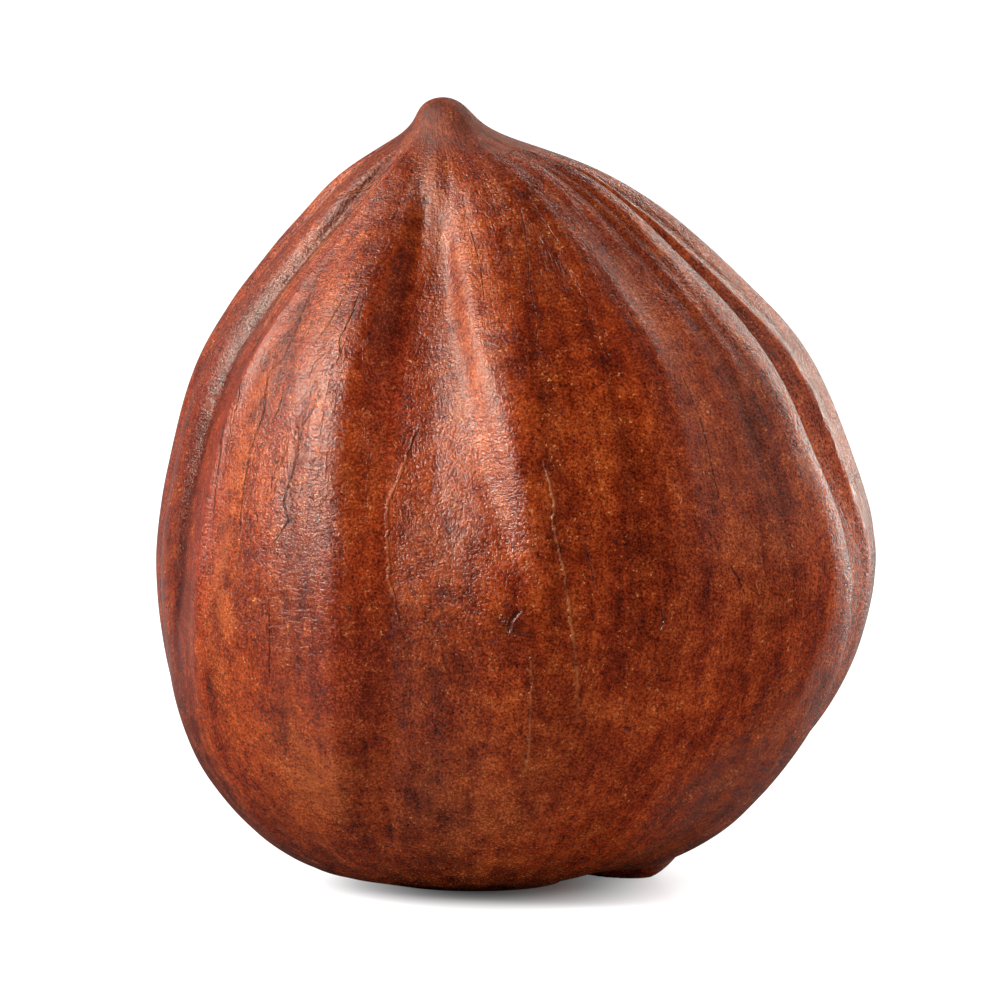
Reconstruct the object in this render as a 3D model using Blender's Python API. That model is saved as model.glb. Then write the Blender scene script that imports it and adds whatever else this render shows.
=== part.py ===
"""A shelled hazelnut kernel in its brown skin, standing on its broad end with the tip up: one solid, grown in one piece.

Millimetres until the mesh is made. +Z up, the front faces -Y, the origin is on the small flat spot it stands on.
"""

import math

import bpy
import numpy as np

MM = 0.001
HEIGHT = 15.9
TIP_DROP = 0.14

# The grid of the skin: columns go round the axis, rows go from the rest spot to the tip
COLUMNS = 104
ROWS = 54
CROWDING = 1.3

# The plain body, foot to tip: height, lean to the right, lean to the back, half width, front reach, back reach.
# The first one is the pole under the floor that the flat spot cuts off, and the second is the spot's edge.
STATIONS = (
    (-0.14, -0.46, 0.08, 0.00, 0.00, 0.00),
    (0.00, -0.50, 0.08, 1.66, 1.66, 1.76),
    (0.42, -0.48, 0.08, 3.58, 3.46, 3.56),
    (1.30, -0.36, 0.05, 4.95, 4.75, 4.80),
    (2.85, -0.08, 0.00, 6.36, 5.95, 6.00),
    (4.80, 0.14, 0.00, 7.17, 6.75, 6.75),
    (6.80, 0.22, 0.00, 7.32, 6.92, 6.98),
    (8.80, 0.09, 0.00, 6.85, 6.55, 6.72),
    (10.80, -0.04, -0.02, 6.08, 5.72, 5.98),
    (12.40, -0.24, -0.10, 4.85, 4.50, 4.92),
    (13.60, -0.40, -0.28, 3.69, 3.25, 3.80),
    (14.45, -0.62, -0.55, 2.62, 2.10, 2.78),
    (15.00, -0.90, -0.80, 1.40, 1.12, 1.60),
    (15.45, -1.08, -0.95, 0.66, 0.68, 0.74),
    (HEIGHT - TIP_DROP, -1.14, -1.00, 0.40, 0.42, 0.42),
    (HEIGHT, -1.14, -1.00, 0.00, 0.00, 0.00),
)

# Lengthwise ribs and grooves: azimuth in degrees at the foot, the middle and the tip (0 is the front, + is to the
# right), height (- is a groove), half width in degrees to the left and to the right, sharpness of the flanks,
# and the places along the body where it starts and ends (0 is the foot, 1 is the tip).
LINES = (
    (24, -2.5, -23, -0.31, 16.0, 5.5, 3.0, 0.38, 0.86),
    (-22, -19.5, -25, -0.32, 6.0, 34.0, 2.0, 0.12, 0.92),
    (-33, -33, -33, -0.18, 8.0, 8.0, 2.0, 0.66, 0.97),
    (-34, -30.5, -28, 0.14, 14.0, 5.0, 2.0, 0.10, 0.86),
    (16, 18, 18, -0.08, 7.0, 8.0, 2.0, 0.20, 0.86),
    (26, 30, 28, 0.05, 7.0, 7.0, 2.0, 0.25, 0.84),
    (38, 41, 36, -0.06, 7.0, 7.0, 2.0, 0.20, 0.86),
    (72, 65, 53, 0.25, 12.0, 4.0, 1.4, 0.02, 0.98),
    (81, 74, 62, -0.50, 6.0, 11.0, 1.4, 0.00, 0.94),
    (118, 100, 92, 0.16, 14.0, 14.0, 2.0, 0.14, 0.90),
    (126, 122, 118, -0.26, 9.0, 9.0, 1.5, 0.25, 0.97),
    (148, 146, 150, -0.26, 11.0, 10.0, 1.5, 0.05, 0.93),
    (178, 176, 180, -0.40, 12.0, 15.0, 1.6, 0.00, 0.95),
    (-158, -156, -160, -0.22, 10.0, 9.0, 1.5, 0.10, 0.93),
    (-126, -128, -132, -0.36, 12.0, 14.0, 1.6, 0.05, 0.95),
    (-100, -100, -108, -0.30, 9.0, 9.0, 1.5, 0.00, 0.98),
    (-88, -84, -86, -0.20, 6.0, 6.0, 1.4, 0.20, 0.97),
    (-68, -67, -46, -0.26, 9.0, 5.5, 3.0, 0.26, 0.97),
)
LINE_START = 0.18
LINE_END = 0.14

# Lumps, as azimuth, place along the body, height, half width in degrees, half length along the body:
# the heel in which the right lobe comes down to the floor, the arch between it and the rest spot, and its belly
LUMPS = (
    (104, 0.080, 0.50, 24, 0.042),
    (68, 0.032, -0.28, 22, 0.045),
    (74, 0.170, 0.13, 26, 0.070),
)

# The lines wander sideways by this much (radians), and broad dents lie between them:
# waves round the body, waves along it, size, seed
WANDER = (9, 5, 0.035, 11)
DENTS = (
    (14, 4, 0.050, 3),
    (30, 6, 0.030, 5),
)
NOISE_GAIN = 1.9

# The relief dies away towards the tip and towards the edge of the rest spot, over these lengths
TIP_FADE = 2.0
FOOT_FADE = 0.45

SKIN_COLOUR = (0.19, 0.037, 0.013, 1.0)
SKIN_ROUGHNESS = 0.48
SKIN_SPECULAR = 0.35


def spline(knots, values, at):
    """A natural cubic spline through the rows of values, one at each knot, read at the places in at."""
    knots = np.asarray(knots, float)
    values = np.asarray(values, float)
    step = np.diff(knots)
    slope = np.diff(values, axis=0) / step[:, None]
    last = len(knots) - 1
    system = np.eye(last + 1)
    right = np.zeros_like(values)
    for i in range(1, last):
        system[i, i - 1 : i + 2] = step[i - 1], 2 * (step[i - 1] + step[i]), step[i]
        right[i] = 6 * (slope[i] - slope[i - 1])
    bend = np.linalg.solve(system, right)
    i = np.clip(np.searchsorted(knots, at) - 1, 0, last - 1)
    low = ((knots[i + 1] - at) / step[i])[:, None]
    high = 1 - low
    curve = (low**3 - low) * bend[i] + (high**3 - high) * bend[i + 1]
    return low * values[i] + high * values[i + 1] + curve * step[i][:, None] ** 2 / 6


def body(along):
    """The station's six values at each place along the body, 0 at the edge of the rest spot and 1 at the tip."""
    stations = np.array(STATIONS)
    mirrored = stations * [1, 1, 1, -1, -1, -1]
    rows = np.concatenate([mirrored[3:0:-1], stations, mirrored[-2:-5:-1]])
    steps = np.hypot(np.diff(rows[:, 0]), np.diff(rows[:, 3]))
    places = np.concatenate([[0], np.cumsum(steps)])
    foot = places[4]
    tip = places[-4]
    return spline((places - foot) / (tip - foot), rows, along)


def plain_points(along, around):
    """The body without its relief, and its mean radius in each row."""
    height, right, back, half, front_reach, back_reach = (column[:, None] for column in body(along).T)
    mean = (2 * half + front_reach + back_reach) / 4
    skew = (front_reach - back_reach) / 2
    oval = (front_reach + back_reach - 2 * half) / 4
    radius = mean + skew * np.cos(around) + oval * np.cos(2 * around)
    x = right + radius * np.sin(around)
    y = back - radius * np.cos(around)
    z = height + 0 * radius
    return np.stack([x, y, z], axis=-1), mean[:, 0]


def outward(points):
    """The unit normal at each point of the grid."""
    round_axis = np.roll(points, -1, axis=1) - np.roll(points, 1, axis=1)
    up = np.gradient(points, axis=0)
    normal = np.cross(round_axis, up)
    normal[-1] = (0, 0, 1)
    return normal / np.linalg.norm(normal, axis=-1, keepdims=True)


def smooth_step(low, high, at):
    t = np.clip((at - low) / (high - low), 0, 1)
    return t * t * (3 - 2 * t)


def weights(t):
    """The four weights of a cubic B-spline at the fraction t between two lattice points."""
    return (
        (1 - t) ** 3 / 6,
        (3 * t**3 - 6 * t**2 + 4) / 6,
        (-3 * t**3 + 3 * t**2 + 3 * t + 1) / 6,
        t**3 / 6,
    )


def noise(along, around, waves_round, waves_along, seed):
    """Smooth noise from about -1 to 1 that closes on itself round the axis."""
    lattice = np.random.default_rng(seed).uniform(-1, 1, (waves_along + 4, waves_round))
    u = (around / (2 * math.pi) % 1) * waves_round
    v = along * waves_along
    column = np.floor(u).astype(int)
    row = np.floor(v).astype(int)
    across = weights(u - column)
    up = weights(v - row)
    total = np.zeros_like(u)
    for i in range(4):
        for j in range(4):
            height = lattice[np.clip(row + i, 0, waves_along + 3), (column + j - 1) % waves_round]
            total += up[i] * across[j] * height
    return NOISE_GAIN * total


def relief(along, around, mean_radius):
    """How far each point of the grid stands out from the plain body."""
    place, angle = np.meshgrid(along, around, indexing="ij")
    waves_round, waves_along, size, seed = WANDER
    angle = angle + size * noise(place, angle, waves_round, waves_along, seed)
    out = np.zeros_like(angle)
    for foot, middle, tip, height, left, right, sharpness, start, end in LINES:
        path = np.radians(spline([0, 0.5, 1], [[foot], [middle], [tip]], along))
        offset = (angle - path + math.pi) % (2 * math.pi) - math.pi
        width = np.radians(np.where(offset < 0, left, right))
        strength = 1 - smooth_step(end - LINE_END, end, along)
        if start > 0:
            strength = strength * smooth_step(start, start + LINE_START, along)
        out += height * np.exp(-((np.abs(offset) / width) ** sharpness)) * strength[:, None]
    for azimuth, centre, height, half_width, half_length in LUMPS:
        offset = (angle - math.radians(azimuth) + math.pi) % (2 * math.pi) - math.pi
        spread = (offset / math.radians(half_width)) ** 2 + ((place - centre) / half_length) ** 2
        out += height * np.exp(-spread)
    for waves_round, waves_along, size, seed in DENTS:
        out += size * noise(place, angle, waves_round, waves_along, seed)
    foot_radius = mean_radius[0]
    tip_fade = 1 - np.exp(-((mean_radius / TIP_FADE) ** 2))
    foot_fade = 1 - np.exp(-(((mean_radius - foot_radius) / FOOT_FADE) ** 2))
    lower_half = along < 0.5
    fade = np.where(lower_half, foot_fade, tip_fade)
    return out * fade[:, None]


def kernel_points():
    """Rows of points from the edge of the rest spot to the tip. The last row is all at the tip."""
    t = np.linspace(0, 1, ROWS)
    along = 1 - (1 - t) ** CROWDING
    around = np.linspace(-math.pi, math.pi, COLUMNS, endpoint=False)
    points, mean_radius = plain_points(along, around)
    points = points + relief(along, around, mean_radius)[..., None] * outward(points)
    points[0, :, 2] = 0
    points[:, :, 2] = np.maximum(points[:, :, 2], 0)
    return points


def kernel_mesh(points):
    """Quads between the rows, one flat face under the foot and a fan of triangles at the tip."""
    ring = np.arange(COLUMNS)
    beside = (ring + 1) % COLUMNS
    faces = [tuple(int(i) for i in ring[::-1])]
    for row in range(ROWS - 2):
        low = row * COLUMNS
        high = low + COLUMNS
        faces += [(low + int(i), low + int(j), high + int(j), high + int(i)) for i, j in zip(ring, beside)]
    top = (ROWS - 2) * COLUMNS
    tip = (ROWS - 1) * COLUMNS
    faces += [(top + int(i), top + int(j), tip) for i, j in zip(ring, beside)]
    corners = np.concatenate([points[:-1].reshape(-1, 3), points[-1, :1]]) * MM
    mesh = bpy.data.meshes.new("kernel")
    mesh.from_pydata(corners.tolist(), [], faces)
    for face in mesh.polygons:
        face.use_smooth = face.index > 0
    return mesh


def skin_material():
    material = bpy.data.materials.new("skin")
    material.use_nodes = True
    shader = material.node_tree.nodes["Principled BSDF"]
    shader.inputs["Base Color"].default_value = SKIN_COLOUR
    shader.inputs["Roughness"].default_value = SKIN_ROUGHNESS
    shader.inputs["Specular IOR Level"].default_value = SKIN_SPECULAR
    material.diffuse_color = SKIN_COLOUR
    return material


def main():
    for item in list(bpy.data.objects):
        bpy.data.objects.remove(item)
    mesh = kernel_mesh(kernel_points())
    mesh.materials.append(skin_material())
    kernel = bpy.data.objects.new("kernel", mesh)
    bpy.context.scene.collection.objects.link(kernel)


main()
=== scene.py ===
"""Looks of a shelled hazelnut kernel: the wrinkled skin as a fine mesh, its material, and the studio.

The form is the frame's own, worked out by the same functions and in millimetres until the mesh is made.
"""

import math

import bpy
import numpy as np
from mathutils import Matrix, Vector

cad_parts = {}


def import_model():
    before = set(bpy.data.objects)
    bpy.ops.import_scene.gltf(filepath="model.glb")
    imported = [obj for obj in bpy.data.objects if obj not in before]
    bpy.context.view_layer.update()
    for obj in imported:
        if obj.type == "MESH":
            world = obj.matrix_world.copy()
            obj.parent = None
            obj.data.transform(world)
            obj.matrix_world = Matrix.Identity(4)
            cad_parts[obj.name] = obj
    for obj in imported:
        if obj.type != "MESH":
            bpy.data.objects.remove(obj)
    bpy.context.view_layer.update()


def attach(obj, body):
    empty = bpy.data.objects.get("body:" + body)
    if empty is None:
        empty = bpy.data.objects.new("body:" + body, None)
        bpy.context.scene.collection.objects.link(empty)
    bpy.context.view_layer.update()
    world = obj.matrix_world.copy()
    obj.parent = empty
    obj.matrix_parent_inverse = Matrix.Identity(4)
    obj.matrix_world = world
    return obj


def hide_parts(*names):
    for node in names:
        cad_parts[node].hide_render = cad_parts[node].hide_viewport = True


MM = 0.001

# The plain body, foot to tip: height, lean to the right, lean to the back, half width, front reach and back
# reach. The first one is the pole under the floor that the flat spot cuts off, and the second is the spot's
# edge.
HEIGHT = 15.9
TIP_DROP = 0.14
STATIONS = (
    (-0.14, -0.46, 0.08, 0.00, 0.00, 0.00),
    (0.00, -0.50, 0.08, 1.66, 1.66, 1.76),
    (0.42, -0.48, 0.08, 3.58, 3.46, 3.56),
    (1.30, -0.36, 0.05, 4.95, 4.75, 4.80),
    (2.85, -0.08, 0.00, 6.36, 5.95, 6.00),
    (4.80, 0.14, 0.00, 7.17, 6.75, 6.75),
    (6.80, 0.22, 0.00, 7.32, 6.92, 6.98),
    (8.80, 0.09, 0.00, 6.85, 6.55, 6.72),
    (10.80, -0.04, -0.02, 6.08, 5.72, 5.98),
    (12.40, -0.24, -0.10, 4.85, 4.50, 4.92),
    (13.60, -0.40, -0.28, 3.69, 3.25, 3.80),
    (14.45, -0.62, -0.55, 2.62, 2.10, 2.78),
    (15.00, -0.90, -0.80, 1.40, 1.12, 1.60),
    (15.45, -1.08, -0.95, 0.66, 0.68, 0.74),
    (HEIGHT - TIP_DROP, -1.14, -1.00, 0.40, 0.42, 0.42),
    (HEIGHT, -1.14, -1.00, 0.00, 0.00, 0.00),
)

# Lengthwise ribs and grooves: azimuth in degrees at the foot, the middle and the tip (0 is the front, + is to
# the right), height (- is a groove), half width in degrees to the left and to the right, sharpness of the
# flanks, and the places along the body where it starts and ends (0 is the foot, 1 is the tip).
LINES = (
    (24, -2.5, -23, -0.31, 16.0, 5.5, 3.0, 0.38, 0.86),
    (-22, -19.5, -25, -0.32, 6.0, 34.0, 2.0, 0.12, 0.92),
    (-33, -33, -33, -0.18, 8.0, 8.0, 2.0, 0.66, 0.97),
    (-34, -30.5, -28, 0.14, 14.0, 5.0, 2.0, 0.10, 0.86),
    (16, 18, 18, -0.08, 7.0, 8.0, 2.0, 0.20, 0.86),
    (26, 30, 28, 0.05, 7.0, 7.0, 2.0, 0.25, 0.84),
    (38, 41, 36, -0.06, 7.0, 7.0, 2.0, 0.20, 0.86),
    (72, 65, 53, 0.25, 12.0, 4.0, 1.4, 0.02, 0.98),
    (81, 74, 62, -0.50, 6.0, 11.0, 1.4, 0.00, 0.94),
    (118, 100, 92, 0.16, 14.0, 14.0, 2.0, 0.14, 0.90),
    (126, 122, 118, -0.26, 9.0, 9.0, 1.5, 0.25, 0.97),
    (148, 146, 150, -0.26, 11.0, 10.0, 1.5, 0.05, 0.93),
    (178, 176, 180, -0.40, 12.0, 15.0, 1.6, 0.00, 0.95),
    (-158, -156, -160, -0.22, 10.0, 9.0, 1.5, 0.10, 0.93),
    (-126, -128, -132, -0.36, 12.0, 14.0, 1.6, 0.05, 0.95),
    (-100, -100, -108, -0.30, 9.0, 9.0, 1.5, 0.00, 0.98),
    (-88, -84, -86, -0.20, 6.0, 6.0, 1.4, 0.20, 0.97),
    (-68, -67, -46, -0.26, 9.0, 5.5, 3.0, 0.26, 0.97),
)
LINE_START = 0.18
LINE_END = 0.14

# Shallow hollows of the fine mesh, beside the central ridge and left of the left bulge, in the same terms
HOLLOWS = (
    (-9, -11, -12, -0.065, 8.0, 7.0, 2.0, 0.30, 0.92),
    (-59, -61, -50, -0.08, 4.0, 12.0, 2.0, 0.30, 0.93),
)

# Creases and thin ribs that only the fine mesh can hold, in the same terms
CREASES = (
    (-60, -58.5, -41, 0.10, 4.0, 1.8, 1.2, 0.30, 0.985),
    (-66, -64, -47, 0.07, 3.0, 2.5, 1.6, 0.35, 0.985),
    (-72, -71, -56, -0.09, 1.6, 2.6, 1.2, 0.30, 0.98),
    (-92, -88, -92, 0.08, 3.5, 4.5, 1.5, 0.30, 0.97),
    (-96, -93, -98, -0.06, 1.8, 1.8, 1.2, 0.25, 0.97),
    (-41, -38, -34, -0.025, 1.4, 2.2, 1.3, 0.30, 0.84),
    (8, 9, 8, -0.03, 2.0, 2.6, 1.3, 0.25, 0.90),
    (22, 23, 21, -0.03, 1.8, 2.4, 1.3, 0.30, 0.88),
    (33, 34, 31, 0.03, 1.6, 1.6, 1.5, 0.30, 0.80),
    (54, 50, 42, -0.035, 1.6, 2.4, 1.3, 0.35, 0.96),
    (60, 55, 46, -0.03, 1.4, 2.2, 1.3, 0.50, 0.97),
    (96, 84, 72, 0.10, 2.6, 3.0, 1.4, 0.20, 0.975),
    (100, 88, 77, -0.08, 1.6, 2.2, 1.2, 0.20, 0.975),
    (108, 94, 84, 0.06, 2.4, 3.0, 1.4, 0.25, 0.96),
    (112, 98, 89, -0.06, 1.6, 2.2, 1.2, 0.25, 0.96),
    (136, 134, 130, -0.06, 1.8, 2.4, 1.2, 0.20, 0.95),
    (160, 162, 164, -0.05, 1.8, 2.4, 1.2, 0.15, 0.92),
    (-172, -170, -168, -0.05, 1.8, 2.4, 1.2, 0.20, 0.94),
    (-142, -141, -144, 0.05, 2.0, 2.0, 1.4, 0.15, 0.93),
    (-112, -114, -118, -0.05, 1.8, 2.4, 1.2, 0.10, 0.95),
)

# Lumps, as azimuth, place along the body, height, half width in degrees, half length along the body: the
# heel in which the right lobe comes down to the floor, the arch between it and the rest spot, and its belly
LUMPS = (
    (104, 0.080, 0.50, 24, 0.042),
    (68, 0.032, -0.28, 22, 0.045),
    (74, 0.170, 0.13, 26, 0.070),
)

# Dark cracks and pale veins of the skin, drawn in the material: half width in mm, measured round the body,
# then azimuth in degrees and place along the body in hundredths
CRACKS = (
    (0.018, ((-32.3, 71.2), (-32.3, 68.2), (-33.2, 66.0), (-32.0, 64.2), (-33.9, 62.7))),
    (0.011, ((-36.0, 71.0), (-36.5, 69.4), (-37.5, 67.5), (-38.5, 66.0), (-39.7, 65.2))),
    (0.011, ((-35.5, 64.7), (-37.7, 63.5), (-38.2, 61.8))),
    (0.017, ((-36.2, 60.4), (-35.0, 59.5), (-37.2, 57.7), (-38.0, 53.5),
             (-39.5, 50.8), (-38.2, 48.9), (-42.0, 46.1))),
    (0.016, ((-47.4, 71.5), (-46.0, 66.8), (-46.5, 63.9), (-49.5, 62.4),
             (-47.5, 58.5), (-49.2, 54.9), (-49.2, 46.2))),
    (0.010, ((-44.0, 61.2), (-43.8, 59.7), (-44.6, 57.6))),
    (0.010, ((-41.6, 42.2), (-41.5, 38.3), (-42.0, 34.2))),
    (0.013, ((-57.4, 76.0), (-59.4, 70.0), (-58.8, 62.0), (-57.0, 55.0), (-56.3, 46.0))),
    (0.010, ((12.2, 48.4), (13.3, 45.6), (13.9, 43.0))),
    (0.012, ((37.8, 63.0), (38.5, 57.4), (38.1, 51.0))),
    (0.010, ((17.5, 82.0), (13.0, 76.3), (11.3, 73.0), (10.5, 69.0))),
    (0.008, ((-3.6, 80.5), (-2.5, 78.4), (-1.2, 75.3), (-1.0, 72.0))),
    (0.013, ((24.6, 41.8), (25.4, 40.3), (24.6, 39.0))),
    (0.018, ((37.0, 45.8), (39.0, 44.1), (40.5, 42.5))),
    (0.060, ((-3.6, 41.4), (-1.4, 40.2), (0.8, 39.6), (5.0, 38.5))),
    (0.050, ((-1.8, 39.0), (-0.2, 40.2), (1.4, 41.6))),
)
VEINS = (
    (0.026, ((-16.6, 59.6), (-18.2, 57.1), (-19.4, 54.6), (-21.7, 51.3), (-21.2, 44.0), (-19.0, 39.6))),
    (0.024, ((7.0, 56.0), (8.3, 51.0), (7.6, 49.2), (9.0, 44.0), (9.8, 41.0), (13.6, 30.5))),
    (0.026, ((-50.5, 88.3), (-58.5, 79.5), (-62.0, 74.8), (-62.2, 70.8),
             (-61.0, 66.5), (-56.2, 61.4), (-55.0, 52.0))),
    (0.022, ((-51.5, 88.6), (-65.8, 82.4), (-88.0, 76.3), (-91.0, 70.0))),
    (0.024, ((3.5, 38.0), (4.5, 33.0), (5.5, 28.0), (6.0, 24.0))),
)
# A pale line along the edge of the right crest, partly skin rubbed pale and partly a painted highlight of the
# crest's rim, where the angle is read along the wandering lines
RUBBED_CREST_AND_HIGHLIGHT = (
    (0.030, ((55.0, 92.5), (56.5, 88.0), (60.0, 76.0), (63.0, 63.0), (65.7, 50.0), (68.0, 36.0))),
)
# A mark's field is kept within this reach of its line, in mm, and fades over this share of its length
MARK_REACH = (0.08, 0.17)
MARK_END = 0.12

# Stains of the skin, with a few patches of painted highlight and shade among them: azimuth, place along in
# hundredths, half width in degrees, half length, strength
ORANGE_STAINS_AND_HIGHLIGHT = (
    (-36, 25, 9, 6, 0.9),
    (-51, 60, 3, 12, 0.7),
    (-54, 42, 4, 12, 0.8),
    (-22, 85, 12, 7, 0.6),
    (-2, 20, 16, 8, 0.5),
    (0, 7, 60, 6, 0.35),
    (-14, 45, 7, 9, 0.35),
    # This one lightens the skin under the centre ridge's highlight: partly the skin's orange, partly a
    # painted highlight
    (-5, 70, 6, 13, 0.6),
)
RED_STAINS_AND_SHADE = (
    # The first three darken a band beside the hollow left of the left bulge: partly the skin's deep red,
    # partly painted shade
    (-54, 71, 4.5, 9, 1.0),
    (-58, 57, 4.5, 9, 0.9),
    (-58, 46, 5, 8, 0.6),
    (-70, 60, 7, 14, 0.7),
    (-24, 62, 5, 16, 0.6),
    (-28, 34, 8, 8, 0.5),
)
DARK_STAINS_AND_SHADE = (
    (24, 80, 14, 12, 0.9),
    (-10, 100, 360, 9, 1.0),
    (-20, 36, 8, 8, 0.5),
    (10, 62, 7, 22, 0.55),
    (40, 55, 14, 24, 0.2),
    (-26, 70, 4, 18, 0.5),
    (0, 40, 3.5, 1.8, 1.0),
    (-10, 48, 6, 5, 0.5),
    (60, 86, 20, 8, 0.4),
    (-72, 50, 14, 34, 0.55),
    (-30, 84, 16, 8, 0.5),
    # These two darken the same band beside the hollow left of the left bulge: partly the skin's deep red,
    # partly painted shade
    (-54, 72, 4, 7, 0.6),
    (-58, 58, 4, 8, 0.4),
)

STAINS_AND_PAINTED_LIGHT = (ORANGE_STAINS_AND_HIGHLIGHT, RED_STAINS_AND_SHADE, DARK_STAINS_AND_SHADE)

# Where the skin is most finely cracked, in the same terms
ZONES = (
    (-40, 60, 11, 18, 1.0),
    (30, 84, 22, 10, 0.6),
    (90, 62, 16, 30, 0.8),
    (-100, 60, 30, 30, 0.6),
    (150, 50, 40, 30, 0.6),
)

# Waves round the body, waves along it, size, seed
WANDER = (9, 5, 0.035, 11)
DENTS = (
    (14, 4, 0.050, 3),
    (30, 6, 0.030, 5),
)
WRINKLES = (
    (54, 9, 0.014, 8),
    (96, 16, 0.010, 21),
    (84, 44, 0.008, 22),
    (190, 30, 0.006, 23),
)
NOISE_GAIN = 1.9
# The fine relief is set in by this much, so that it stays within the plain solid's reach
INSET = 0.058
TIP_FADE = 2.0
FOOT_FADE = 0.45

# The fine grid. Its columns are crowded where the skin shows most marks.
COLUMNS = 462
ROWS = 217
CROWDING = 1.12
FRONT_AZIMUTH = -12
FRONT_HALF_WIDTH = 62
FRONT_DENSITY = 0.8

# Reach of the round coordinates that the grain is read in, about a millimetre to the unit at the widest place
GRAIN_RADIUS = 7.2
GRAIN_LENGTH = 24.0
PLACE_SCALE = 100.0

# Colours
DEEP_SKIN = (0.052, 0.0052, 0.0014, 1)
DARK_SKIN = (0.108, 0.0095, 0.0020, 1)
MID_SKIN = (0.185, 0.0215, 0.0036, 1)
LIGHT_SKIN = (0.315, 0.0540, 0.0085, 1)
ORANGE_SKIN = (0.34, 0.066, 0.010, 1)
RED_SKIN = (0.22, 0.016, 0.005, 1)
PURPLE_SKIN = (0.060, 0.011, 0.012, 1)
CRACK_COLOUR = (0.030, 0.005, 0.003, 1)
VEIN_COLOUR = (0.44, 0.125, 0.030, 1)
# Pale colour of the crest's line: partly rubbed skin, partly a painted highlight of the crest's rim
RUBBED_CREST_AND_HIGHLIGHT_COLOUR = (0.70, 0.40, 0.28, 1)
GOLD_SPECK = (0.75, 0.38, 0.13, 1)
SPECULAR_TINT = (1.0, 0.84, 0.70, 1)
FLOOR_COLOUR = (0.70, 0.70, 0.71, 1)
FLOOR_IN_SKIN_LIGHT = (0.62, 0.60, 0.58, 1)
FLOOR_IN_SKIN_GLOSS = (0.03, 0.03, 0.03, 1)

# Noises of the skin, read in the grain coordinates: stretch along the body, scale, detail, roughness and
# distortion
GRAIN_NOISES = {
    "streaks": (0.2, 1.2, 4, 0.6, 0.5),
    "strands": (0.3, 4.5, 4, 0.65, 0.6),
    "fibres": (0.08, 6.0, 3, 0.6, 0.3),
    "ripples": (3.4, 2.6, 3, 0.6, 0.5),
    "hairs": (0.22, 2.3, 3, 0.6, 0.8),
}
# Noises of the skin, read in metres: scale, detail, roughness and distortion
METRE_NOISES = {
    "clouds": (430, 4, 0.6, 0.3),
    "mottle": (2300, 5, 0.72, 0.0),
    "spots": (3000, 3, 0.7, 0.0),
    "jitter": (5000, 2, 0.7, 0.0),
    "gold": (14000, 2, 0.7, 0.0),
    "speckle": (20000, 2, 0.75, 0.0),
}
TONE_WEIGHTS = {
    "streaks": 0.7,
    "strands": 0.35,
    "mottle": 0.95,
    "clouds": 0.6,
    "speckle": 0.5,
    "fibres": 0.35,
}
TONE_RANGE = (1.395, 2.055)
TONE_STOPS = ((0.0, DEEP_SKIN), (0.25, DARK_SKIN), (0.55, MID_SKIN), (1.0, LIGHT_SKIN))

# How the stains and painted patches, and the lines, share in the colour: the mottle's low and high value, and
# the shares there
PATCH_SHARES = (
    (0.32, 0.62, 0.0, 1.0),
    (0.35, 0.62, 0.2, 0.75),
    (0.25, 0.60, 0.9, 0.45),
)
VEIN_SHARE = (0.38, 0.58, 0.0, 0.42)
RUBBED_CREST_AND_HIGHLIGHT_SHARE = (0.38, 0.58, 0.15, 0.85)
CRACK_SHARE = (0.38, 0.56, 0.95, 0.35)
# Shares and tones set by other noises, and painted shade set by the fine relief, darker in its creases and
# lighter on its ribs: a low and a high value, and what they become
SPOT_SHARE = (0.37, 0.29, 0.0, 0.7)
PAINTED_RELIEF_SHADE = (-0.06, 0.03, 0.6, 1.12)
GRAIN_TONE = (0.34, 0.66, 0.50, 1.55)
GOLD_SHARE = (0.62, 0.70, 0.0, 0.45)
GOLD_GROUND = (0.48, 0.60)
# Hair cracks lie where their noise is nearly at its middle, and only in patches
HAIR_SHARE = (0.002, 0.012, 0.8, 0.0)
HAIR_PATCHES = (0.4, 0.6)
# A line fades between these distances from its middle, in half widths
LINE_EDGE = (0.5, 1.8)
# Shake of the lines sideways, in half widths, and the share of it that the crest's pale line and painted
# highlight takes
LINE_JITTER = 6.0
RUBBED_CREST_AND_HIGHLIGHT_JITTER = 0.8

# Gloss, and heights of the finest relief in mm
SPECULAR_LEVEL = 0.55
ROUGHNESS = 0.04
ROUGH_WEIGHTS = {"speckle": 0.26, "mottle": 0.06}
PATCH_ROUGHNESS = 0.12
TIP_ROUGHNESS = 0.45
TIP_ROUGHNESS_PLACE = (0.88, 0.97)
BUMP_WEIGHTS = {"strands": 0.014, "mottle": 0.023, "speckle": 0.020, "ripples": 0.020}
VEIN_HEIGHT = 0.032
CRACK_DEPTH = 0.030
TIP_SMOOTHING = (0.93, 0.99, 1.0, 0.4)

# The floor glows white round the kernel. Its shade under it is an ellipse, between two distances in metres.
FLOOR_STRETCH = (1.5, 1, 1)
FLOOR_SHADE = (0.0016, 0.0076, 0.04, 1.0)
FLOOR_ROUGHNESS = 0.22
# What the kernel gets of that glow from behind it, by distance to the back
FLOOR_BEHIND = (0.0, 0.05, 0.0, 0.30)

# The world's strength from front to back, as the kernel sees it
WORLD_SHADE = (-0.05, 0.8, 0.02, 0.18)

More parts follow.
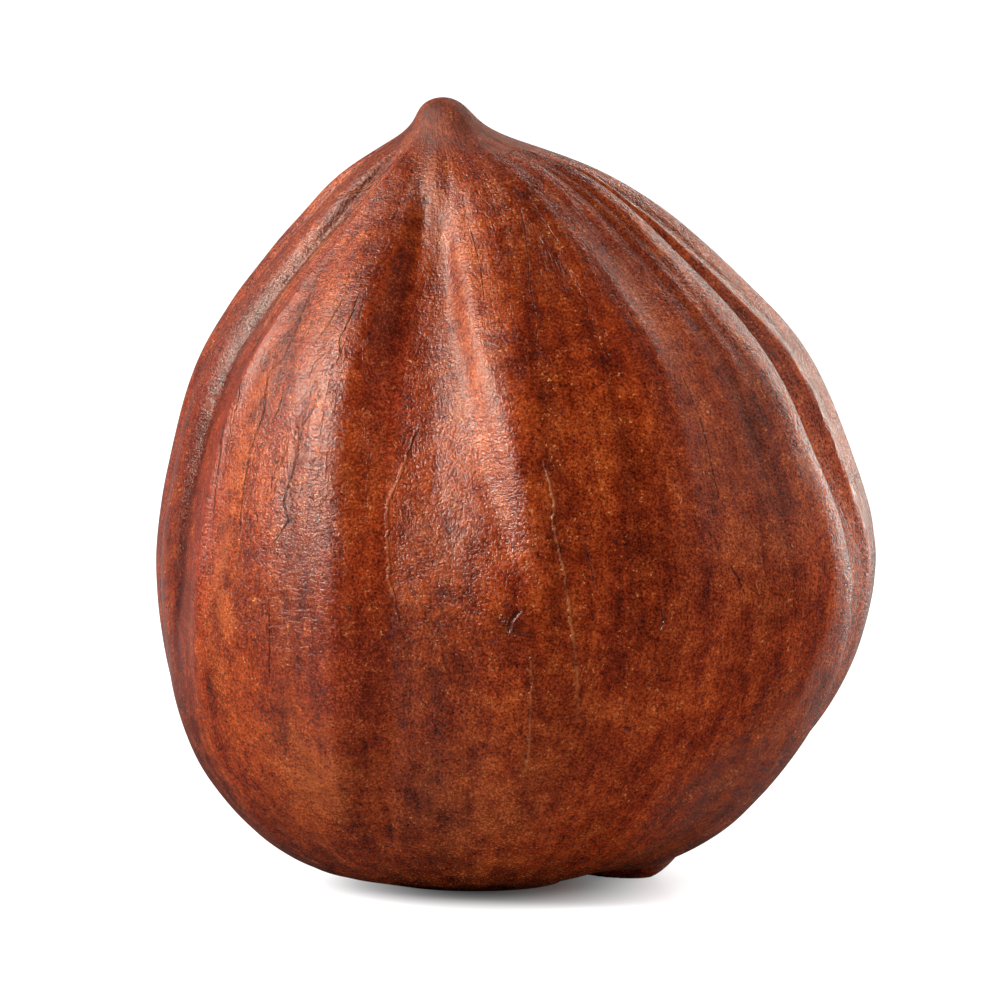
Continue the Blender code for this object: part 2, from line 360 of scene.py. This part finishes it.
# Lights: name, azimuth, elevation, distance, width and height in metres, power, colour, whether it lights the
# skin's own colour, and whether it gives a highlight
WHITE = (1.0, 1.0, 1.0)
RIM_LIGHT = (1.0, 0.86, 0.76)
LIGHTS = (
    ("key", -66, 32, 0.16, 0.05, 0.085, 0.51, WHITE, True, True),
    ("fill", 64, 4, 0.18, 0.12, 0.16, 0.42, WHITE, True, False),
    ("side", 110, 10, 0.18, 0.12, 0.16, 0.14, WHITE, True, False),
    ("left", -104, -2, 0.18, 0.12, 0.16, 0.11, WHITE, True, False),
    ("rim_right", 146, 6, 0.20, 0.022, 0.14, 0.15, RIM_LIGHT, True, True),
    ("gleam", -66, 40, 0.18, 0.03, 0.055, 0.05, RIM_LIGHT, False, True),
    ("edge_left", -127, 31, 0.18, 0.03, 0.055, 0.035, RIM_LIGHT, False, True),
    ("edge_top", 152, 34, 0.18, 0.03, 0.055, 0.06, RIM_LIGHT, False, True),
    ("sheen", 104, 30, 0.18, 0.03, 0.055, 0.03, RIM_LIGHT, False, True),
)

# The photograph's view
CAMERA_ELEVATION = 5
CAMERA_DISTANCE = 0.2
CAMERA_LENS = 357.5
CAMERA_TARGET = (-0.13 * MM, 0, 7.737 * MM)


def spline(knots, values, at):
    """A natural cubic spline through the rows of values, one at each knot, read at the places in at."""
    knots = np.asarray(knots, float)
    values = np.asarray(values, float)
    step = np.diff(knots)
    slope = np.diff(values, axis=0) / step[:, None]
    last = len(knots) - 1
    system = np.eye(last + 1)
    right = np.zeros_like(values)
    for i in range(1, last):
        system[i, i - 1 : i + 2] = step[i - 1], 2 * (step[i - 1] + step[i]), step[i]
        right[i] = 6 * (slope[i] - slope[i - 1])
    bend = np.linalg.solve(system, right)
    i = np.clip(np.searchsorted(knots, at) - 1, 0, last - 1)
    low = ((knots[i + 1] - at) / step[i])[:, None]
    high = 1 - low
    curve = (low**3 - low) * bend[i] + (high**3 - high) * bend[i + 1]
    return low * values[i] + high * values[i + 1] + curve * step[i][:, None] ** 2 / 6


def body(along):
    """The stations' six values at each place along the body, 0 at the rest spot's edge and 1 at the tip."""
    stations = np.array(STATIONS)
    mirrored = stations * [1, 1, 1, -1, -1, -1]
    rows = np.concatenate([mirrored[3:0:-1], stations, mirrored[-2:-5:-1]])
    steps = np.hypot(np.diff(rows[:, 0]), np.diff(rows[:, 3]))
    places = np.concatenate([[0], np.cumsum(steps)])
    foot = places[4]
    tip = places[-4]
    return spline((places - foot) / (tip - foot), rows, along)


def plain_points(along, around):
    """The body without its relief, and its mean radius in each row."""
    height, right, back, half, front_reach, back_reach = (column[:, None] for column in body(along).T)
    mean = (2 * half + front_reach + back_reach) / 4
    skew = (front_reach - back_reach) / 2
    oval = (front_reach + back_reach - 2 * half) / 4
    radius = mean + skew * np.cos(around) + oval * np.cos(2 * around)
    x = right + radius * np.sin(around)
    y = back - radius * np.cos(around)
    z = height + 0 * radius
    return np.stack([x, y, z], axis=-1), mean[:, 0]


def outward(points):
    """The unit normal at each point of the grid."""
    round_axis = np.roll(points, -1, axis=1) - np.roll(points, 1, axis=1)
    up = np.gradient(points, axis=0)
    normal = np.cross(round_axis, up)
    normal[-1] = (0, 0, 1)
    return normal / np.linalg.norm(normal, axis=-1, keepdims=True)


def smooth_step(low, high, at):
    t = np.clip((at - low) / (high - low), 0, 1)
    return t * t * (3 - 2 * t)


def weights(t):
    """The four weights of a cubic B-spline at the fraction t between two lattice points."""
    return (
        (1 - t) ** 3 / 6,
        (3 * t**3 - 6 * t**2 + 4) / 6,
        (-3 * t**3 + 3 * t**2 + 3 * t + 1) / 6,
        t**3 / 6,
    )


def noise(along, around, waves_round, waves_along, seed):
    """Smooth noise from about -1 to 1 that closes on itself round the axis."""
    lattice = np.random.default_rng(seed).uniform(-1, 1, (waves_along + 4, waves_round))
    u = (around / (2 * math.pi) % 1) * waves_round
    v = along * waves_along
    column = np.floor(u).astype(int)
    row = np.floor(v).astype(int)
    across = weights(u - column)
    up = weights(v - row)
    total = np.zeros_like(u)
    for i in range(4):
        for j in range(4):
            height = lattice[np.clip(row + i, 0, waves_along + 3), (column + j - 1) % waves_round]
            total += up[i] * across[j] * height
    return NOISE_GAIN * total


def turn(angle):
    """An angle brought between minus and plus half a turn."""
    return (angle + math.pi) % (2 * math.pi) - math.pi


def lines_relief(lines, along, angle):
    out = np.zeros_like(angle)
    for foot, middle, tip, height, left, right, sharpness, start, end in lines:
        path = np.radians(spline([0, 0.5, 1], [[foot], [middle], [tip]], along))
        offset = turn(angle - path)
        width = np.radians(np.where(offset < 0, left, right))
        strength = 1 - smooth_step(end - LINE_END, end, along)
        if start > 0:
            strength = strength * smooth_step(start, start + LINE_START, along)
        out += height * np.exp(-((np.abs(offset) / width) ** sharpness)) * strength[:, None]
    return out


def wander(place, angle):
    """The azimuths that the lengthwise lines are laid out in, which stray a little from the true ones."""
    waves_round, waves_along, size, seed = WANDER
    return angle + size * noise(place, angle, waves_round, waves_along, seed)


def relief(along, around, mean_radius):
    """How far each point of the grid stands out from the plain body, and the fine part of that."""
    place, angle = np.meshgrid(along, around, indexing="ij")
    angle = wander(place, angle)
    out = lines_relief(LINES, along, angle) + lines_relief(HOLLOWS, along, angle)
    for azimuth, centre, height, half_width, half_length in LUMPS:
        offset = turn(angle - math.radians(azimuth))
        spread = (offset / math.radians(half_width)) ** 2 + ((place - centre) / half_length) ** 2
        out += height * np.exp(-spread)
    for waves_round, waves_along, size, seed in DENTS:
        out += size * noise(place, angle, waves_round, waves_along, seed)
    fine = lines_relief(CREASES, along, angle)
    for waves_round, waves_along, size, seed in WRINKLES:
        fine += size * noise(place, angle, waves_round, waves_along, seed)
    foot_radius = mean_radius[0]
    tip_fade = 1 - np.exp(-((mean_radius / TIP_FADE) ** 2))
    foot_fade = 1 - np.exp(-(((mean_radius - foot_radius) / FOOT_FADE) ** 2))
    fade = np.where(along < 0.5, foot_fade, tip_fade)[:, None]
    return (out + fine - INSET) * fade, fine * fade


def mark_field(marks, place, angle, radius):
    """The signed distance from the nearest line, in its half widths, and how strongly it shows there."""
    nearest = np.full(angle.shape, 9.0)
    across = np.full(angle.shape, 9.0)
    strength = np.zeros(angle.shape)
    for half_width, points in marks:
        azimuths, places = np.array(sorted(points, key=lambda point: point[1])).T
        run = (PLACE_SCALE * place - places[0]) / (places[-1] - places[0])
        ends = np.clip(np.minimum(run, 1 - run) / MARK_END, 0, 1)
        path = np.radians(np.interp(PLACE_SCALE * place, places, azimuths))
        offset = turn(angle - path) * radius
        closer = (np.abs(offset) < nearest) & (ends > 0)
        nearest = np.where(closer, np.abs(offset), nearest)
        across = np.where(closer, offset / half_width, across)
        strength = np.where(closer, ends * (1 - smooth_step(*MARK_REACH, np.abs(offset))), strength)
    return np.stack([across, strength, np.zeros(angle.shape)], axis=-1)


def soft_patches(marks, place, angle):
    """Soft patches, added up to 1 at most."""
    total = np.zeros(angle.shape)
    for azimuth, centre, half_width, half_length, strength in marks:
        across = turn(angle - math.radians(azimuth)) / math.radians(half_width)
        along = (PLACE_SCALE * place - centre) / half_length
        total += strength * np.exp(-(across**2) - along**2)
    return np.minimum(total, 1)


def column_angles():
    """The grid's azimuths, closer together round the front."""
    angle = np.linspace(-math.pi, math.pi, 2001)
    offset = turn(angle - math.radians(FRONT_AZIMUTH)) / math.radians(FRONT_HALF_WIDTH)
    density = 1 + FRONT_DENSITY * np.exp(-(offset**2))
    count = np.concatenate([[0], np.cumsum((density[1:] + density[:-1]) / 2)])
    return np.interp(np.arange(COLUMNS) / COLUMNS, count / count[-1], angle)


def grid_faces():
    """Quads between the rows, as corner indices, for a grid whose last row is a ring round the tip."""
    ring = np.arange(COLUMNS)
    beside = (ring + 1) % COLUMNS
    low = np.arange(ROWS - 2)[:, None] * COLUMNS
    high = low + COLUMNS
    return np.stack([low + ring, low + beside, high + beside, high + ring], axis=-1).reshape(-1, 4)


def store(mesh, name, grid):
    """Keep a grid of vectors as an attribute of the mesh's points."""
    values = np.concatenate([grid[:-1].reshape(-1, 3), grid[-1, :1]])
    mesh.attributes.new(name, "FLOAT_VECTOR", "POINT").data.foreach_set("vector", values.ravel())


def kernel_piece():
    """The fine mesh, and what the material reads at its points: grain, lines, patches, a few of them painted
    light and shade, and fine relief.
    """
    t = np.linspace(0, 1, ROWS)
    along = 1 - (1 - t) ** CROWDING
    around = column_angles()
    points, mean_radius = plain_points(along, around)
    height, fine = relief(along, around, mean_radius)
    points = points + height[..., None] * outward(points)
    points[:, :, 2] = np.maximum(points[:, :, 2], 0)

    corners = np.concatenate([points[:-1].reshape(-1, 3), points[-1, :1]]) * MM
    ring = np.arange(COLUMNS)
    top = (ROWS - 2) * COLUMNS
    tip = (ROWS - 1) * COLUMNS
    quads = grid_faces()
    fan = [(top + int(i), top + (int(i) + 1) % COLUMNS, tip) for i in ring]
    foot = [tuple(int(i) for i in ring[::-1])]
    mesh = bpy.data.meshes.new("kernel_skin")
    mesh.from_pydata(corners.tolist(), [], quads.tolist() + fan + foot)
    smooth = np.ones(len(mesh.polygons), bool)
    smooth[-1] = False
    mesh.polygons.foreach_set("use_smooth", smooth)

    place, angle = np.meshgrid(along, around, indexing="ij")
    radius = mean_radius[:, None]
    grain = [np.cos(angle) * GRAIN_RADIUS, np.sin(angle) * GRAIN_RADIUS, place * GRAIN_LENGTH]
    store(mesh, "grain", np.stack(grain, axis=-1))
    store(mesh, "cracks", mark_field(CRACKS, place, angle, radius))
    store(mesh, "veins", mark_field(VEINS, place, angle, radius))
    store(mesh, "crest_rub_and_highlight", mark_field(RUBBED_CREST_AND_HIGHLIGHT, place, wander(place, angle), radius))
    store(mesh, "stains_and_painted_light", np.stack([soft_patches(marks, place, angle) for marks in STAINS_AND_PAINTED_LIGHT], axis=-1))
    store(mesh, "zones", np.stack([soft_patches(ZONES, place, angle), place, fine], axis=-1))

    piece = bpy.data.objects.new("kernel_skin", mesh)
    bpy.context.scene.collection.objects.link(piece)
    return piece


class Shader:
    """Short ways to add nodes to a material. A value is a socket or a plain number or colour."""

    def __init__(self, name):
        self.material = bpy.data.materials.new(name)
        self.material.use_nodes = True
        self.tree = self.material.node_tree
        self.surface = self.tree.nodes["Principled BSDF"]

    def feed(self, socket, value):
        if isinstance(value, bpy.types.NodeSocket):
            self.tree.links.new(value, socket)
        else:
            socket.default_value = value

    def attribute(self, name, output):
        node = self.tree.nodes.new("ShaderNodeAttribute")
        node.attribute_name = name
        return node.outputs[output]

    def object_place(self):
        return self.tree.nodes.new("ShaderNodeTexCoord").outputs["Object"]

    def maths(self, operation, first, second=0.0, third=0.0, clamp=False):
        node = self.tree.nodes.new("ShaderNodeMath")
        node.operation = operation
        node.use_clamp = clamp
        for socket, value in zip(node.inputs, (first, second, third)):
            self.feed(socket, value)
        return node.outputs[0]

    def total(self, terms, start=0.0):
        """The sum of a number and some values, each times its weight."""
        for value, weight in terms:
            start = self.maths("MULTIPLY_ADD", value, weight, start)
        return start

    def vector_maths(self, operation, first, second):
        node = self.tree.nodes.new("ShaderNodeVectorMath")
        node.operation = operation
        self.feed(node.inputs[0], first)
        self.feed(node.inputs[1], second)
        return node.outputs[0]

    def parts(self, vector):
        node = self.tree.nodes.new("ShaderNodeSeparateXYZ")
        self.feed(node.inputs[0], vector)
        return node.outputs

    def noise(self, vector, scale, detail=2.0, roughness=0.5, distortion=0.0):
        node = self.tree.nodes.new("ShaderNodeTexNoise")
        self.feed(node.inputs["Vector"], vector)
        node.inputs["Scale"].default_value = scale
        node.inputs["Detail"].default_value = detail
        node.inputs["Roughness"].default_value = roughness
        node.inputs["Distortion"].default_value = distortion
        return node.outputs["Fac"]

    def fit(self, value, low, high, to_low=0.0, to_high=1.0, smooth=True):
        """The value's range from low to high, brought to the new range and held there."""
        node = self.tree.nodes.new("ShaderNodeMapRange")
        node.interpolation_type = "SMOOTHSTEP" if smooth else "LINEAR"
        for name, number in zip(("From Min", "From Max", "To Min", "To Max"), (low, high, to_low, to_high)):
            node.inputs[name].default_value = number
        self.feed(node.inputs["Value"], value)
        return node.outputs["Result"]

    def mix(self, factor, first, second, blend="MIX"):
        node = self.tree.nodes.new("ShaderNodeMix")
        node.data_type = "RGBA"
        node.blend_type = blend
        self.feed(node.inputs["Factor"], factor)
        self.feed(node.inputs["A"], first)
        self.feed(node.inputs["B"], second)
        return node.outputs["Result"]

    def ramp(self, value, stops):
        """Colours blended along a value, as pairs of place and colour."""
        node = self.tree.nodes.new("ShaderNodeValToRGB")
        self.feed(node.inputs[0], value)
        ramp = node.color_ramp
        while len(ramp.elements) < len(stops):
            ramp.elements.new(0.5)
        for element, (place, colour) in zip(ramp.elements, stops):
            element.position = place
            element.color = colour
        return node.outputs[0]

    def line(self, field, jitter):
        """1 along the lines of a field of signed distances, shaken a little sideways."""
        across, strength, _ = self.parts(self.attribute(field, "Vector"))
        offset = self.maths("ABSOLUTE", self.maths("ADD", across, jitter))
        return self.maths("MULTIPLY", self.fit(offset, *LINE_EDGE, 1.0, 0.0), strength)

    def bump(self, height, distance):
        node = self.tree.nodes.new("ShaderNodeBump")
        node.inputs["Distance"].default_value = distance
        self.feed(node.inputs["Height"], height)
        return node.outputs[0]


def skin_noises(s):
    """The noises that the skin's colour, gloss and relief share, by name."""
    grain = s.attribute("grain", "Vector")
    metres = s.object_place()
    made = {}
    for name, (stretch, *settings) in GRAIN_NOISES.items():
        made[name] = s.noise(s.vector_maths("MULTIPLY", grain, (1, 1, stretch)), *settings)
    for name, settings in METRE_NOISES.items():
        made[name] = s.noise(metres, *settings)
    return made


def weighted(weights, noises):
    """Pairs of a noise and its weight."""
    return [(noises[name], weight) for name, weight in weights.items()]


def skin_colour(s, noises, stains_and_painted_light, fine):
    """The colour without its lines: browns, patches (a few painted light and shade), dark spots, darker
    grains, and painted shade of the fine relief.
    """
    mottle = noises["mottle"]
    tone = s.total(weighted(TONE_WEIGHTS, noises))
    colour = s.ramp(s.fit(tone, *TONE_RANGE, smooth=False), TONE_STOPS)
    for patch_amount, share, to_colour in zip(stains_and_painted_light, PATCH_SHARES, (ORANGE_SKIN, RED_SKIN, DEEP_SKIN)):
        colour = s.mix(s.maths("MULTIPLY", patch_amount, s.fit(mottle, *share)), colour, to_colour)
    colour = s.mix(s.fit(noises["spots"], *SPOT_SHARE), colour, PURPLE_SKIN)
    # Painted shade: the colour is darker in the fine relief's creases and lighter on its ribs
    painted_relief_shade = s.fit(fine, *PAINTED_RELIEF_SHADE)
    grains = s.fit(noises["speckle"], *GRAIN_TONE, smooth=False)
    colour = s.mix(1.0, colour, s.maths("MULTIPLY", grains, painted_relief_shade), "MULTIPLY")
    gold = s.maths("MULTIPLY", s.fit(noises["gold"], *GOLD_SHARE), s.fit(mottle, *GOLD_GROUND))
    return s.mix(gold, colour, GOLD_SPECK)


def skin_lines(s, noises, cracked):
    """How strongly each point lies in a crack, on a vein and on the crest's line of rubbed skin and painted
    highlight.
    """
    jitter = s.maths("MULTIPLY", s.maths("SUBTRACT", noises["jitter"], 0.5), LINE_JITTER)
    hairs = s.maths("ABSOLUTE", s.maths("SUBTRACT", noises["hairs"], 0.5))
    hairs = s.maths("MULTIPLY", s.fit(hairs, *HAIR_SHARE), cracked)
    hairs = s.maths("MULTIPLY", hairs, s.fit(noises["clouds"], *HAIR_PATCHES))
    cracks = s.maths("MAXIMUM", s.line("cracks", jitter), hairs)
    crest_rub_and_highlight = s.line("crest_rub_and_highlight", s.maths("MULTIPLY", jitter, RUBBED_CREST_AND_HIGHLIGHT_JITTER))
    return cracks, s.line("veins", jitter), crest_rub_and_highlight


def skin_material():
    s = Shader("skin")
    noises = skin_noises(s)
    stains_and_painted_light = s.parts(s.attribute("stains_and_painted_light", "Vector"))
    cracked, place, fine = s.parts(s.attribute("zones", "Vector"))
    cracks, veins, crest_rub_and_highlight = skin_lines(s, noises, cracked)

    colour = skin_colour(s, noises, stains_and_painted_light, fine)
    for line, share, to_colour in (
        (veins, VEIN_SHARE, VEIN_COLOUR),
        # The crest's pale line is partly rubbed skin and partly a painted highlight of its rim
        (crest_rub_and_highlight, RUBBED_CREST_AND_HIGHLIGHT_SHARE, RUBBED_CREST_AND_HIGHLIGHT_COLOUR),
        (cracks, CRACK_SHARE, CRACK_COLOUR),
    ):
        colour = s.mix(s.maths("MULTIPLY", line, s.fit(noises["mottle"], *share)), colour, to_colour)

    dull = s.maths("MAXIMUM", stains_and_painted_light[0], stains_and_painted_light[1])
    at_tip = s.fit(place, *TIP_ROUGHNESS_PLACE, 0.0, TIP_ROUGHNESS)
    rough = s.total(weighted(ROUGH_WEIGHTS, noises) + [(dull, PATCH_ROUGHNESS), (at_tip, 1.0)], ROUGHNESS)
    raised = s.maths("MAXIMUM", veins, crest_rub_and_highlight)
    height = s.total(weighted(BUMP_WEIGHTS, noises) + [(raised, VEIN_HEIGHT), (cracks, -CRACK_DEPTH)])
    height = s.maths("MULTIPLY", height, s.fit(place, *TIP_SMOOTHING))

    s.feed(s.surface.inputs["Base Color"], colour)
    s.feed(s.surface.inputs["Roughness"], rough)
    s.feed(s.surface.inputs["Normal"], s.bump(height, MM))
    s.surface.inputs["Specular IOR Level"].default_value = SPECULAR_LEVEL
    s.surface.inputs["Specular Tint"].default_value = SPECULAR_TINT
    return s.material


def floor():
    bpy.ops.mesh.primitive_plane_add(size=2)
    plane = bpy.context.object
    plane.name = "floor"
    s = Shader("floor")
    path = s.tree.nodes.new("ShaderNodeLightPath").outputs
    seen = path["Is Camera Ray"]
    bounce = s.mix(path["Is Diffuse Ray"], FLOOR_IN_SKIN_GLOSS, FLOOR_IN_SKIN_LIGHT)
    away = s.tree.nodes.new("ShaderNodeVectorMath")
    away.operation = "LENGTH"
    s.feed(away.inputs[0], s.vector_maths("MULTIPLY", s.object_place(), FLOOR_STRETCH))
    glow = s.fit(away.outputs["Value"], *FLOOR_SHADE)
    behind = s.fit(s.parts(s.object_place())[1], *FLOOR_BEHIND)
    strength = s.maths("MULTIPLY_ADD", seen, s.maths("SUBTRACT", glow, behind), behind)
    s.feed(s.surface.inputs["Base Color"], s.mix(seen, bounce, FLOOR_COLOUR))
    s.surface.inputs["Roughness"].default_value = FLOOR_ROUGHNESS
    s.surface.inputs["Emission Color"].default_value = (1, 1, 1, 1)
    s.feed(s.surface.inputs["Emission Strength"], strength)
    plane.data.materials.append(s.material)


def direction(azimuth, elevation):
    """The unit vector towards a place round the object: azimuth 0 is the front, + is to the right."""
    turned = math.radians(azimuth)
    raised = math.radians(elevation)
    flat = math.cos(raised)
    return Vector((math.sin(turned) * flat, -math.cos(turned) * flat, math.sin(raised)))


def softbox(name, azimuth, elevation, distance, width, height, power, colour, diffuse, glossy):
    """A rectangular area light that faces the kernel's middle."""
    data = bpy.data.lights.new(name, "AREA")
    data.shape = "RECTANGLE"
    data.size = width
    data.size_y = height
    data.energy = power
    data.color = colour
    light = bpy.data.objects.new(name, data)
    bpy.context.scene.collection.objects.link(light)
    towards = direction(azimuth, elevation)
    light.location = towards * distance + Vector((0, 0, HEIGHT * MM / 2))
    light.rotation_euler = towards.to_track_quat("Z", "Y").to_euler()
    light.visible_diffuse = diffuse
    light.visible_glossy = glossy


def world():
    """Pale behind and beside the kernel, dim in front of it, and white where the camera looks past it."""
    made = bpy.data.worlds.new("studio")
    bpy.context.scene.world = made
    made.use_nodes = True
    tree = made.node_tree
    background = tree.nodes["Background"]
    background.inputs["Color"].default_value = (1, 1, 1, 1)
    place = tree.nodes.new("ShaderNodeTexCoord").outputs["Generated"]
    split = tree.nodes.new("ShaderNodeSeparateXYZ")
    tree.links.new(place, split.inputs[0])
    shade = tree.nodes.new("ShaderNodeMapRange")
    shade.interpolation_type = "SMOOTHSTEP"
    for name, number in zip(("From Min", "From Max", "To Min", "To Max"), WORLD_SHADE):
        shade.inputs[name].default_value = number
    tree.links.new(split.outputs["Y"], shade.inputs["Value"])
    path = tree.nodes.new("ShaderNodeLightPath")
    seen = tree.nodes.new("ShaderNodeMix")
    seen.data_type = "FLOAT"
    tree.links.new(path.outputs["Is Camera Ray"], seen.inputs["Factor"])
    tree.links.new(shade.outputs["Result"], seen.inputs["A"])
    seen.inputs["B"].default_value = 1.0
    tree.links.new(seen.outputs["Result"], background.inputs["Strength"])


def camera():
    data = bpy.data.cameras.new("camera")
    data.lens = CAMERA_LENS
    data.clip_start = 0.01
    made = bpy.data.objects.new("camera", data)
    bpy.context.scene.collection.objects.link(made)
    back = direction(0, CAMERA_ELEVATION)
    made.location = Vector(CAMERA_TARGET) + back * CAMERA_DISTANCE
    made.rotation_euler = back.to_track_quat("Z", "Y").to_euler()
    bpy.context.scene.camera = made
    bpy.context.scene.view_settings.view_transform = "Standard"


def main():
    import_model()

    kernel = kernel_piece()
    kernel.data.materials.append(skin_material())
    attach(kernel, "root")
    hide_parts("kernel")

    floor()
    for light in LIGHTS:
        softbox(*light)
    world()
    camera()


main()
